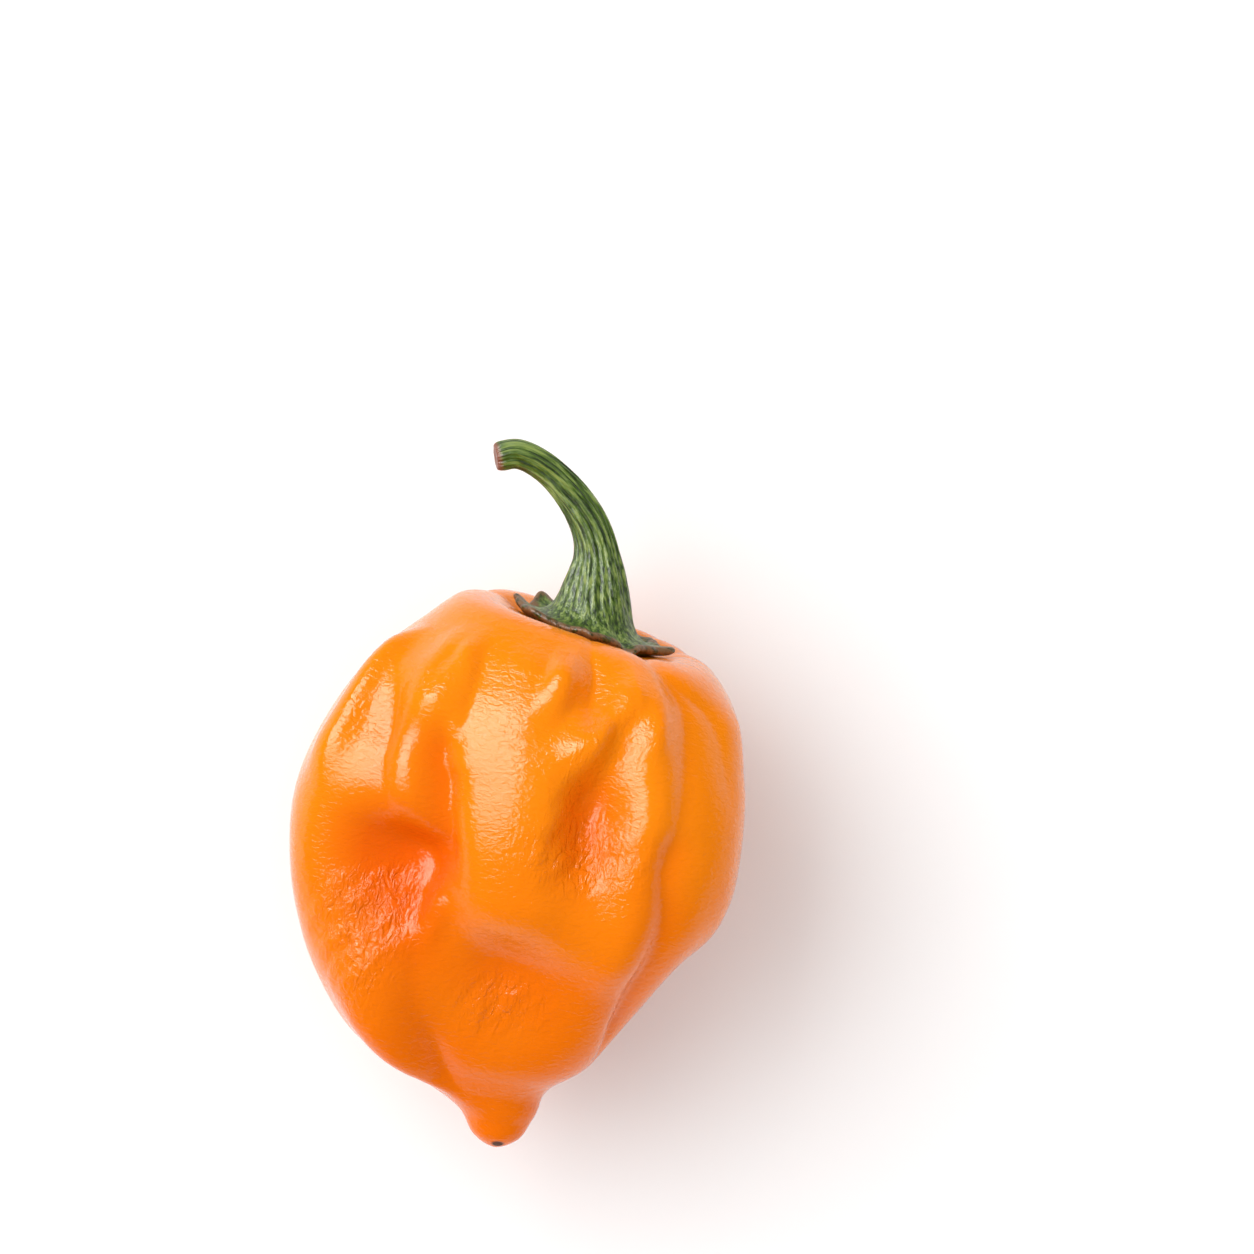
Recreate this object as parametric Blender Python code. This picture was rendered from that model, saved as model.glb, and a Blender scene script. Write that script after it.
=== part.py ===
"""A habanero pepper as picked: an orange pod lying on its side, with its green calyx and stem.

Sizes are in millimetres and degrees until a point is placed in the scene. The pod has a frame of its own:
Z runs from the tip to the stem end, X to the right, and -Y towards the side that shows best. Turns are
measured round Z, from -Y towards +X. Heights along the pod are shares of its length, from 0 at the tip.
"""

import math
from collections import namedtuple

import bmesh
import bpy
from mathutils import Matrix, Vector
from mathutils.bvhtree import BVHTree

# Driving sizes
MM = 0.001
POD_LENGTH = 47.4
POD_WIDTH = 39.4
CALYX_WIDTH = 13.4
SEAT_GAP = 0.3  # between the pod's skin and the underside of the calyx

# How the pod lies: the stem end is higher than the tip, and the skin is pressed flat where it rests
LIE_ANGLE = 9.0
POD_TIP_AT = (3.2, -30.75, 14.75)  # where the middle of the tip comes, above the surface
PRESS_BLEND = 0.2  # the height over which the skin turns into the flat spot

# Facets
POD_SEGMENTS, POD_RINGS = 88, 46
STEM_SEGMENTS, STEM_RINGS = 44, 56

# The pod's turned outline, from the seat of the calyx over the shoulder and the belly to the tip:
# (share of the length, share of half the width)
POD_OUTLINE = (
    (0.970, 0.000), (0.974, 0.170), (0.987, 0.340), (1.000, 0.460), (0.991, 0.580), (0.960, 0.670),
    (0.912, 0.755), (0.840, 0.860), (0.760, 0.940), (0.660, 0.995), (0.570, 1.000), (0.475, 0.955),
    (0.380, 0.860), (0.285, 0.735), (0.190, 0.565), (0.137, 0.385), (0.101, 0.262), (0.062, 0.168),
    (0.021, 0.105), (0.000, 0.000),
)
# The middle of the pod wanders sideways, and the tip turns a little to the front: (share of the length, mm)
POD_DRIFT = (
    (0.00, -0.40), (0.07, -0.90), (0.14, -3.60), (0.28, -4.30), (0.50, -3.50), (0.66, -3.30),
    (0.83, -1.70), (0.93, -0.10), (1.00, 0.00),
)
POD_TIP_FORWARD = (
    (0.00, -4.00), (0.04, -3.90), (0.08, -3.50), (0.13, -2.40), (0.20, -1.00), (0.32, 0.00), (1.00, 0.00),
)
# The front is flatter than the sides: (share of the length, depth of the front as a share of its radius)
FRONT_DEPTH = (
    (0.00, 0.90), (0.08, 0.88), (0.14, 0.88), (0.20, 0.89), (0.30, 0.92), (0.42, 0.95), (0.60, 0.96),
    (1.00, 1.00),
)
# 2 is a round section, and more gives it soft corners: (share of the length, at the front, at the back)
SQUARENESS = (
    (0.06, 2.00, 2.00), (0.18, 4.00, 2.90), (0.35, 4.40, 3.00), (0.55, 4.40, 2.50), (0.80, 3.80, 2.30),
    (0.95, 2.80, 2.20),
)
SHOULDER_LEAN = 8.5  # the left shoulder stands higher than the right one
SHOULDER_LEAN_FROM, SHOULDER_LEAN_FULL = 0.55, 0.95

# Long folds in the skin. push is how far the skin stands out, or in if it is negative, left and right are
# the turns over which it fades, top is how flat a ridge's top is, and path is (share of the length, turn)
# from the stem end down.
Ridge = namedtuple("Ridge", "push left right top path")
Furrow = namedtuple("Furrow", "push left right path")
RIDGES = (
    # central lobe, then the thin folds to its left
    Ridge(1.20, 17, 12, 2.2, ((0.94, -11), (0.88, -6.50), (0.78, 0), (0.67, 4), (0.55, 5.50), (0.46, 7))),
    Ridge(0.35, 3.5, 3, 2.0, ((0.92, -34), (0.88, -28.50), (0.84, -26), (0.80, -24.50))),
    Ridge(0.80, 5, 5.5, 2.0, ((0.90, -35), (0.85, -32.50), (0.81, -31), (0.75, -30), (0.69, -27.50),
                              (0.62, -24))),
    Ridge(0.30, 4, 3.5, 2.0, ((0.93, -44), (0.90, -41.50), (0.87, -40), (0.83, -37))),
    # left lobe, and the low swelling below it
    Ridge(1.40, 10, 5, 2.0, ((0.90, -59), (0.82, -53), (0.775, -51), (0.73, -49.50), (0.66, -49))),
    Ridge(0.90, 14, 4, 2.0, ((0.50, -16.50), (0.44, -17.50), (0.37, -20))),
    # right and far right lobes
    Ridge(0.70, 6, 7, 2.4, ((0.97, 25), (0.87, 29), (0.76, 31), (0.62, 32), (0.48, 34), (0.36, 36))),
    Ridge(0.60, 10, 12, 3.0, ((0.95, 62), (0.80, 60), (0.60, 62), (0.42, 70))),
    # lobes of the back
    Ridge(1.60, 14, 14, 3.2, ((0.96, 148), (0.70, 151), (0.57, 153))),
    Ridge(1.80, 14, 14, 3.2, ((0.96, -148), (0.70, -151), (0.57, -153))),
    # short fold in the hollow
    Ridge(0.35, 3, 2.5, 2.0, ((0.52, -17.50), (0.48, -18.50), (0.42, -21), (0.38, -24))),
)
FURROWS = (
    # between the thin folds of the left side
    Furrow(-0.70, 3, 3, ((0.84, -43), (0.81, -41), (0.755, -38), (0.70, -35), (0.65, -32.50))),
    Furrow(-0.45, 3, 3, ((0.93, -39), (0.88, -36.50), (0.84, -34.50))),
    Furrow(-0.50, 3, 3, ((0.92, -30.50), (0.87, -25.50), (0.84, -23.50), (0.81, -22), (0.775, -21))),
    # right side of the central lobe
    Furrow(-0.40, 4, 4, ((0.95, -1), (0.88, 2), (0.82, 0))),
    Furrow(-0.80, 3.5, 3, ((0.99, 3), (0.96, 5), (0.90, 7.50), (0.855, 9.70), (0.80, 11))),
    Furrow(-0.45, 4, 3, ((0.97, 17), (0.90, 20), (0.84, 21))),
    # long furrow beside the right lobe
    Furrow(-1.60, 5, 5, ((0.995, 32), (0.945, 38.50), (0.87, 39), (0.765, 38.50), (0.67, 38),
                         (0.615, 37.50), (0.54, 39.50), (0.475, 41), (0.385, 44), (0.30, 50),
                         (0.22, 60))),
    Furrow(-0.40, 4, 4, ((0.99, 36), (0.935, 50), (0.86, 53), (0.76, 54))),
    # crease beside the central lobe, steep on the lobe's side, and its way on to the tip
    Furrow(-2.30, 11, 3, ((0.80, -27), (0.755, -24), (0.725, -20.50), (0.68, -18), (0.63, -16),
                          (0.54, -14.50))),
    Furrow(-0.40, 3, 3, ((0.53, -21.50), (0.50, -22.50), (0.45, -24), (0.40, -26))),
    Furrow(-0.60, 7, 6, ((0.46, -24), (0.36, -20), (0.29, -18.50), (0.20, -14), (0.13, -12))),
    # far sides and back
    Furrow(-0.40, 5, 5, ((0.99, 96), (0.85, 101), (0.70, 104))),
    Furrow(-0.40, 5, 5, ((0.99, -100), (0.86, -98), (0.72, -97))),
    Furrow(-1.50, 8, 8, ((0.99, 120), (0.85, 124), (0.60, 126), (0.40, 128), (0.18, 122))),
    Furrow(-0.45, 5, 5, ((0.99, 143), (0.80, 148))),
    Furrow(-1.40, 9, 9, ((0.99, 176), (0.85, 180), (0.65, 183), (0.42, 186))),
    Furrow(-0.45, 5, 5, ((0.99, 208), (0.80, 210))),
    Furrow(-1.50, 8, 8, ((0.99, 246), (0.85, 241), (0.60, 238), (0.40, 242), (0.18, 250))),
)
# Dents, and knobs where push is positive: how far the skin moves, where it moves most, how far each side
# reaches (left and right are turns, up and down shares of the length), how the spot leans (turns for the
# whole length) and slants (shares of the length for each degree), and its wall: above 1, the middle is
# flatter and the sides are steeper.
Dent = namedtuple("Dent", "push turn height left right up down lean slant wall")
DENTS = (
    # hollow beside the central lobe, and the swelling under it
    Dent(-6.20, -29, 0.545, 13, 15, 0.095, 0.165, 40, -0.0038, 1.10),
    Dent(2.40, -29, 0.27, 14, 13, 0.14, 0.13, 0, 0.00, 1.20),
    # dent of the right lobe, hollow under the central lobe, and the slimmer right end
    Dent(-2.50, 21, 0.715, 9, 7.50, 0.10, 0.16, -20, 0.00, 1.20),
    Dent(-2.30, 8, 0.37, 20, 24, 0.07, 0.14, 0, -0.0012, 1.05),
    Dent(-1.30, 78, 0.40, 28, 35, 0.10, 0.13, 0, 0.00, 1.00),
    # knobs below the calyx
    Dent(0.75, -5, 0.93, 4.50, 4.50, 0.035, 0.035, 0, 0.00, 1.10),
    Dent(0.70, 17, 0.925, 4, 4, 0.035, 0.035, 0, 0.00, 1.10),
    Dent(0.50, 4.50, 0.835, 4.50, 4.50, 0.045, 0.04, 0, 0.00, 1.20),
    Dent(0.50, 26, 0.87, 4, 4, 0.05, 0.045, 0, 0.00, 1.20),
    # hollows of the far side, and the low swelling that the pod leans on
    Dent(-1.30, -128, 0.42, 16, 16, 0.12, 0.12, 0, 0.00, 1.35),
    Dent(-1.10, 104, 0.50, 13, 13, 0.14, 0.14, 0, 0.00, 1.35),
    Dent(1.60, 181, 0.34, 24, 24, 0.09, 0.10, 0, 0.00, 1.35),
)
CREASE_EDGE = 0.35  # how round the bottom of a furrow is, as a share of its width
FOLD_FADE = 0.07  # over this share of the length a fold starts and ends
TIP_SMOOTH, SEAT_SMOOTH = (0.03, 0.16), (1.0, 7.0)  # folds fade towards the tip and the middle of the seat

# The stem runs along this path from the middle of the seat: (right, back, up)
STEM_FOOT = 46.4
STEM_PATH = (
    (0.0, 0.0, 0.0), (-0.1, 0.0, 3.6), (-0.5, 0.0, 7.2), (-1.6, -0.1, 9.9), (-3.8, -0.3, 12.5),
    (-6.3, -0.6, 14.3), (-8.8, -1.0, 15.1), (-10.8, -1.4, 14.9),
)
# The turned outline of calyx and stem, from the middle of the underside to the middle of the cut end:
# (way along the path, radius, share by which the ring follows the skin below it)
STEM_OUTLINE = (
    (0.00, 0.00, 1.0), (0.00, 2.50, 1.0), (0.00, 4.90, 1.0), (0.08, 6.20, 1.0), (0.40, 6.70, 1.0),
    (0.80, 6.45, 1.0), (0.95, 5.60, 1.0), (1.25, 4.70, 0.9), (1.95, 3.95, 0.6), (3.10, 3.35, 0.2),
    (4.60, 2.85, 0.0), (6.00, 2.45, 0.0), (7.40, 2.02, 0.0), (9.20, 1.76, 0.0), (11.4, 1.60, 0.0),
    (13.6, 1.46, 0.0), (15.8, 1.34, 0.0), (18.2, 1.28, 0.0), (20.2, 1.28, 0.0), (21.1, 1.25, 0.0),
    (21.6, 0.95, 0.0), (21.5, 0.45, 0.0), (21.4, 0.00, 0.0),
)
# Points of the calyx: (turn, how far out, how far up, how wide)
CALYX_TEETH = (
    (-98, 1.0, 0.6, 9), (-135, 0.4, 1.1, 9), (-52, 0.3, 0.1, 8), (6, 0.6, 0.0, 10),
    (82, 1.2, 0.1, 8), (120, 0.6, 0.7, 9), (178, 0.7, 0.5, 11), (-172, 0.2, 0.3, 6),
)
RIM_FROM, RIM_FULL = 4.6, 6.4  # radii between which the rim's waves and points come in
RIM_WAVE = 0.22
STEM_RIBS, STEM_RIB_RISE = 7, 0.045  # ribs along the stem, as a share of its radius
STEM_TWIST = 2.2  # degrees for each millimetre of the stem

SPLINE_STEPS = 40  # samples between two points of an outline


def clear_scene():
    for thing in list(bpy.data.objects):
        bpy.data.objects.remove(thing, do_unlink=True)


def smooth_step(value, start, end):
    share = min(max((value - start) / (end - start), 0.0), 1.0)
    return share * share * (3 - 2 * share)


def bell(distance, width):
    return math.exp(-((distance / width) ** 2))


def turn_between(turn, other):
    """The shortest way round from one turn to another, in degrees."""
    return (turn - other + 180) % 360 - 180


def curve_at(points, where):
    """The height at `where` of a smooth curve through (where, height) points, in rising order."""
    if where <= points[0][0]:
        return points[0][1]
    if where >= points[-1][0]:
        return points[-1][1]
    i = next(k for k in range(len(points) - 1) if where < points[k + 1][0])
    (x0, y0), (x1, y1) = points[i], points[i + 1]
    before, after = points[max(i - 1, 0)], points[min(i + 2, len(points) - 1)]
    slope0 = (y1 - before[1]) / (x1 - before[0])
    slope1 = (after[1] - y0) / (after[0] - x0)
    t = (where - x0) / (x1 - x0)
    span = x1 - x0
    return (
        y0 * (1 + 2 * t) * (1 - t) ** 2
        + slope0 * span * t * (1 - t) ** 2
        + y1 * t * t * (3 - 2 * t)
        + slope1 * span * t * t * (t - 1)
    )


def spline(points, closing=None):
    """Evenly close points on a Catmull-Rom curve through the given ones. closing mirrors the ends."""
    points = [Vector(p) for p in points]
    first = closing(points[1]) if closing else 2 * points[0] - points[1]
    last = closing(points[-2]) if closing else 2 * points[-1] - points[-2]
    points = [first, *points, last]
    found = []
    for a, b, c, d in zip(points, points[1:], points[2:], points[3:]):
        for step in range(SPLINE_STEPS):
            t = step / SPLINE_STEPS
            square, cube = 2 * a - 5 * b + 4 * c - d, 3 * b - a - 3 * c + d
            found.append((2 * b + (c - a) * t + square * t**2 + cube * t**3) / 2)
    found.append(points[-2].copy())
    return found


class Trace:
    """A dense line of points, read by the share of its length."""

    def __init__(self, points, measured=None):
        self.points = points
        flat = measured or (lambda p: p)
        self.ways = [0.0]
        for a, b in zip(points, points[1:]):
            self.ways.append(self.ways[-1] + (flat(b) - flat(a)).length)
        self.length = self.ways[-1]

    def at(self, share):
        """The point there and the direction of the line."""
        way = min(max(share, 0.0), 1.0) * self.length
        low, high = 0, len(self.ways) - 1
        while high - low > 1:
            middle = (low + high) // 2
            if self.ways[middle] <= way:
                low = middle
            else:
                high = middle
        part = (way - self.ways[low]) / max(self.ways[high] - self.ways[low], 1e-9)
        ahead = self.points[high] - self.points[low]
        return self.points[low] + ahead * part, ahead.normalized()


def mirror_radius(point):
    """The same point of an outline on the other side of the axis."""
    other = point.copy()
    other[1] = -other[1]
    return other


def fold_path(fold):
    """The fold's path in rising order, for curve_at."""
    return tuple(reversed(fold.path))


def fold_strength(fold, height):
    """1 along a fold, falling to 0 past its two ends."""
    top, bottom = fold.path[0][0], fold.path[-1][0]
    return smooth_step(height, bottom - FOLD_FADE / 2, bottom + FOLD_FADE) * (
        1 - smooth_step(height, top - FOLD_FADE / 4, top + FOLD_FADE / 4)
    )


def side_share(off, below, above):
    """How far off the middle, as a share of the reach on that side."""
    return abs(off) / (above if off > 0 else below)


def ridge_push(ridge, turn, height):
    off = side_share(turn_between(turn, curve_at(fold_path(ridge), height)), ridge.left, ridge.right)
    return ridge.push * math.exp(-(off**ridge.top)) * fold_strength(ridge, height)


def furrow_push(furrow, turn, height):
    off = side_share(turn_between(turn, curve_at(fold_path(furrow), height)), furrow.left, furrow.right)
    return furrow.push * math.exp(CREASE_EDGE - math.hypot(off, CREASE_EDGE)) * fold_strength(furrow, height)


def dent_push(dent, turn, height):
    rise = height - dent.height - dent.slant * turn_between(turn, dent.turn)
    across = side_share(turn_between(turn, dent.turn + dent.lean * rise), dent.left, dent.right)
    along = side_share(rise, dent.down, dent.up)
    return dent.push * math.exp(-((across**2 + along**2) ** dent.wall))


def skin_push(turn, height, radius):
    """How far folds and dents move the skin at this turn and height."""
    push = sum(ridge_push(ridge, turn, height) for ridge in RIDGES)
    push += sum(furrow_push(furrow, turn, height) for furrow in FURROWS)
    push += sum(dent_push(dent, turn, height) for dent in DENTS)
    return push * smooth_step(height, *TIP_SMOOTH) * smooth_step(radius, *SEAT_SMOOTH)


def corner_share(turn, height):
    """How much further out the skin stands in the soft corners of its section."""
    angle = math.radians(turn)
    side = 1 if math.cos(angle) > 0 else 2
    power = curve_at([(row[0], row[side]) for row in SQUARENESS], height)
    return (abs(math.sin(angle)) ** power + abs(math.cos(angle)) ** power) ** (-1 / power)


def pod_trace():
    outline = [(share * POD_LENGTH, radius * POD_WIDTH / 2) for share, radius in POD_OUTLINE]
    return Trace(spline(outline, mirror_radius))


def pod_point(trace, turn, share):
    """The skin at a turn in degrees and a share of the way from the seat to the tip, in the pod's frame."""
    (height, radius), (up, out) = trace.at(share)
    push = skin_push(turn, height / POD_LENGTH, radius)
    radius = radius * corner_share(turn, height / POD_LENGTH) - push * up
    height += push * out
    part = height / POD_LENGTH
    angle = math.radians(turn)
    right, back = radius * math.sin(angle), -radius * math.cos(angle)
    if back < 0:
        back *= curve_at(FRONT_DEPTH, part)
    lean = math.tan(math.radians(SHOULDER_LEAN)) * smooth_step(part, SHOULDER_LEAN_FROM, SHOULDER_LEAN_FULL)
    middle = curve_at(POD_DRIFT, part), curve_at(POD_TIP_FORWARD, part)
    return Vector((right + middle[0], back + middle[1], height - lean * right))


def sphere_mesh(segments, rings):
    mesh = bmesh.new()
    bmesh.ops.create_uvsphere(mesh, u_segments=segments, v_segments=rings, radius=1)
    return mesh


def reshape_sphere(mesh, point_at):
    """Moves each vertex of a unit sphere to point_at(turn in degrees, share of the way from the top)."""
    for vertex in mesh.verts:
        turn = math.degrees(math.atan2(vertex.co.x, -vertex.co.y))
        vertex.co = point_at(turn, math.acos(min(max(vertex.co.z, -1.0), 1.0)) / math.pi)
    bmesh.ops.recalc_face_normals(mesh, faces=mesh.faces)


def make_pod():
    trace = pod_trace()
    mesh = sphere_mesh(POD_SEGMENTS, POD_RINGS)
    reshape_sphere(mesh, lambda turn, share: pod_point(trace, turn, share))
    return mesh


def skin_height(skin, right, back):
    """How high the skin is below the calyx, in the pod's frame."""
    return skin.ray_cast(Vector((right, back, 2 * POD_LENGTH)), Vector((0, 0, -1)))[0].z


def rim_shape(turn, radius):
    """How far out and up the calyx's waves and points move its rim."""
    share = smooth_step(radius, RIM_FROM, RIM_FULL)
    angle = math.radians(turn)
    out = RIM_WAVE * (math.sin(5 * angle + 0.6) + 0.6 * math.sin(8 * angle + 2.0))
    up = 0.5 * RIM_WAVE * (1 + math.sin(7 * angle + 1.0))
    for at, far, high, wide in CALYX_TEETH:
        near = bell(turn_between(turn, at), wide)
        out += far * near
        up += high * near
    return out * share, up * share


def make_stem(skin):
    """Calyx and stem are one grown piece: the calyx follows the skin, and the stem its own path."""
    path = Trace(spline(STEM_PATH))
    outline = Trace(spline(STEM_OUTLINE, mirror_radius), measured=lambda p: Vector((p[0], p[1])))
    seat = Vector((0, 0, STEM_FOOT))
    scale = CALYX_WIDTH / 2 / max(radius for _, radius, _ in STEM_OUTLINE)

    def point_at(turn, share):
        (way, radius, follow), _ = outline.at(1 - share)
        angle = math.radians(turn)
        middle, ahead = path.at(way / path.length)
        side = Vector((0, 1, 0)).cross(ahead).normalized()
        back = ahead.cross(side)
        twisted = angle + math.radians(STEM_TWIST * way)
        ribs = 1 + STEM_RIB_RISE * (1 - follow) * math.cos(STEM_RIBS * twisted)
        ring = seat + middle + radius * ribs * (math.sin(angle) * side - math.cos(angle) * back)
        out, up = rim_shape(turn, radius)
        reach = max(radius, 0.0) * scale + out
        right, behind = reach * math.sin(angle), -reach * math.cos(angle)
        draped = Vector((right, behind, skin_height(skin, right, behind) + SEAT_GAP + way + up))
        return ring.lerp(draped, min(max(follow, 0.0), 1.0))

    mesh = sphere_mesh(STEM_SEGMENTS, STEM_RINGS)
    reshape_sphere(mesh, point_at)
    return mesh


def lying():
    """From the pod's frame, in millimetres, to where the pod lies."""
    tilt = math.radians(LIE_ANGLE)
    turn = Matrix(((1, 0, 0), (0, math.sin(tilt), math.cos(tilt)), (0, -math.cos(tilt), math.sin(tilt))))
    return Matrix.Translation(POD_TIP_AT) @ turn.to_4x4()


def press_flat(mesh):
    """Presses what is below the surface flat on it, with a short round transition."""
    for vertex in mesh.verts:
        height = vertex.co.z
        if height < -PRESS_BLEND:
            vertex.co.z = 0
        elif height < PRESS_BLEND:
            vertex.co.z = (height + PRESS_BLEND) ** 2 / (4 * PRESS_BLEND)


def make_material(name, colour, roughness):
    material = bpy.data.materials.new(name)
    material.use_nodes = True
    shader = material.node_tree.nodes["Principled BSDF"]
    shader.inputs["Base Color"].default_value = (*colour, 1)
    shader.inputs["Roughness"].default_value = roughness
    shader.inputs["Metallic"].default_value = 0
    material.diffuse_color = (*colour, 1)
    return material


def add_object(name, mesh, collection, material):
    mesh.transform(Matrix.Scale(MM, 4))
    data = bpy.data.meshes.new(name)
    mesh.to_mesh(data)
    mesh.free()
    data.shade_smooth()
    data.materials.append(material)
    collection.objects.link(bpy.data.objects.new(name, data))


def main():
    clear_scene()
    pepper = bpy.data.collections.new("habanero_pepper")
    bpy.context.scene.collection.children.link(pepper)
    orange = make_material("orange skin", (0.93, 0.19, 0.002), 0.28)
    green = make_material("green stem", (0.12, 0.19, 0.035), 0.6)

    pod = make_pod()
    stem = make_stem(BVHTree.FromBMesh(pod))
    place = lying()
    for mesh in (pod, stem):
        mesh.transform(place)
    press_flat(pod)
    add_object("pod", pod, pepper, orange)
    add_object("stem_with_calyx", stem, pepper, green)


main()
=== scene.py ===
# A habanero pepper: a glossy orange pod with its green calyx and stem, lying on a pale floor.
import math

import bmesh
import bpy
import numpy as np
from mathutils import Matrix, Vector, noise
from mathutils.bvhtree import BVHTree


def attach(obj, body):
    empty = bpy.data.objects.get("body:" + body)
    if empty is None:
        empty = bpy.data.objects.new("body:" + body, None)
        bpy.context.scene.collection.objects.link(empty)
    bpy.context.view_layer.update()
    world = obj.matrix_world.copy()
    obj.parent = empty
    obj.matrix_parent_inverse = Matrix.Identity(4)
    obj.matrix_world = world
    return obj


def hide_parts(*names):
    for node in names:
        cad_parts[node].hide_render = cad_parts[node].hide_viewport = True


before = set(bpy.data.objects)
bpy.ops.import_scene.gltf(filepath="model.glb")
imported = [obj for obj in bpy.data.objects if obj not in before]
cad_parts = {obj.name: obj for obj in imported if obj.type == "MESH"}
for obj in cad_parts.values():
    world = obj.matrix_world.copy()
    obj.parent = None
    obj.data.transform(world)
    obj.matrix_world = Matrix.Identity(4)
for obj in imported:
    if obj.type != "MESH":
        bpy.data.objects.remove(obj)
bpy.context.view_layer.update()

mm = 0.001  # sizes are in millimetres until a mesh is scaled down, and turns in degrees


def smoothStep(value, start, end):
    share = np.clip((value - start) / (end - start), 0, 1)
    return share * share * (3 - 2 * share)


def turnBetween(turn, other):
    return (turn - other + 180) % 360 - 180


def curveAt(points, where):
    # a smooth curve through (where, height) points, level beyond its ends
    points = sorted(points)
    x = np.array([p[0] for p in points], float)
    y = np.array([p[1] for p in points], float)
    ahead = np.minimum(np.arange(len(x)) + 1, len(x) - 1)
    behind = np.maximum(np.arange(len(x)) - 1, 0)
    slope = (y[ahead] - y[behind]) / (x[ahead] - x[behind])
    where = np.clip(where, x[0], x[-1])
    i = np.clip(np.searchsorted(x, where, side="right") - 1, 0, len(x) - 2)
    span = x[i + 1] - x[i]
    t = (where - x[i]) / span
    start = y[i] * (1 + 2 * t) + slope[i] * span * t
    end = y[i + 1] * (3 - 2 * t) + slope[i + 1] * span * (t - 1)
    return start * (1 - t) ** 2 + end * t * t


def catmullRom(points, steps, first, last):
    # close points on a smooth curve through the given ones
    points = np.array([first, *points, last], float)
    t = (np.arange(steps) / steps)[:, None]
    spans = []
    for a, b, c, d in zip(points, points[1:], points[2:], points[3:]):
        square, cube = 2 * a - 5 * b + 4 * c - d, 3 * b - a - 3 * c + d
        spans.append((2 * b + (c - a) * t + square * t**2 + cube * t**3) / 2)
    return np.vstack([*spans, points[-2:-1]])


def wayAlong(line):
    return np.concatenate([[0], np.cumsum(np.linalg.norm(np.diff(line, axis=0), axis=1))])


def readLine(way, line, where):
    return np.stack([np.interp(where, way, line[:, k]) for k in range(line.shape[1])], axis=-1)


def sphereMesh(segments, rings):
    # a grid wrapped round to a closed unit sphere, with the turn and the way down from its top for each
    # vertex, which is much quicker than a UV sphere of so many faces
    mesh = bmesh.new()
    bmesh.ops.create_grid(mesh, x_segments=segments, y_segments=rings, size=1)
    for vertex in mesh.verts:
        turn, down = vertex.co.x * math.pi, (1 - vertex.co.y) / 2 * math.pi
        flat = math.sin(down)
        vertex.co = (math.sin(turn) * flat, -math.cos(turn) * flat, math.cos(down))
    bmesh.ops.remove_doubles(mesh, verts=mesh.verts, dist=1e-5)
    at = np.array([vertex.co for vertex in mesh.verts])
    turn = np.degrees(np.arctan2(at[:, 0], -at[:, 1]))
    share = np.arccos(np.clip(at[:, 2], -1, 1)) / math.pi
    return mesh, turn, share


def moveVertices(mesh, points):
    for vertex, point in zip(mesh.verts, points):
        vertex.co = point


def addPiece(name, mesh, material, attributes):
    bmesh.ops.recalc_face_normals(mesh, faces=mesh.faces)
    mesh.transform(Matrix.Scale(mm, 4))
    data = bpy.data.meshes.new(name)
    mesh.to_mesh(data)
    mesh.free()
    data.shade_smooth()
    for label, values in attributes.items():
        kind, field = ("FLOAT_VECTOR", "vector") if values.ndim == 2 else ("FLOAT", "value")
        layer = data.attributes.new(label, kind, "POINT")
        layer.data.foreach_set(field, np.ascontiguousarray(values, dtype=np.float32).ravel())
    data.materials.append(material)
    piece = bpy.data.objects.new(name, data)
    bpy.context.scene.collection.objects.link(piece)
    return piece


def toLinear(hexColour):
    # an sRGB hex colour as linear RGBA
    parts = [int(hexColour[i:i + 2], 16) / 255 for i in (1, 3, 5)]
    return (*[p / 12.92 if p <= 0.04045 else ((p + 0.055) / 1.055) ** 2.4 for p in parts], 1)


def newMaterial(name):
    material = bpy.data.materials.new(name)
    material.use_nodes = True
    tree = material.node_tree
    return material, tree, tree.nodes["Principled BSDF"]


def addNode(tree, kind, output, inputs=None, settings=None):
    # one node with its settings and links, read by one of its outputs; an input is a number, a colour or
    # another node's output
    node = tree.nodes.new(kind)
    for key, value in (settings or {}).items():
        setattr(node, key, value)
    for key, value in (inputs or {}).items():
        if isinstance(value, bpy.types.NodeSocket):
            tree.links.new(value, node.inputs[key])
        else:
            node.inputs[key].default_value = value
    return node.outputs[output]


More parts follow.
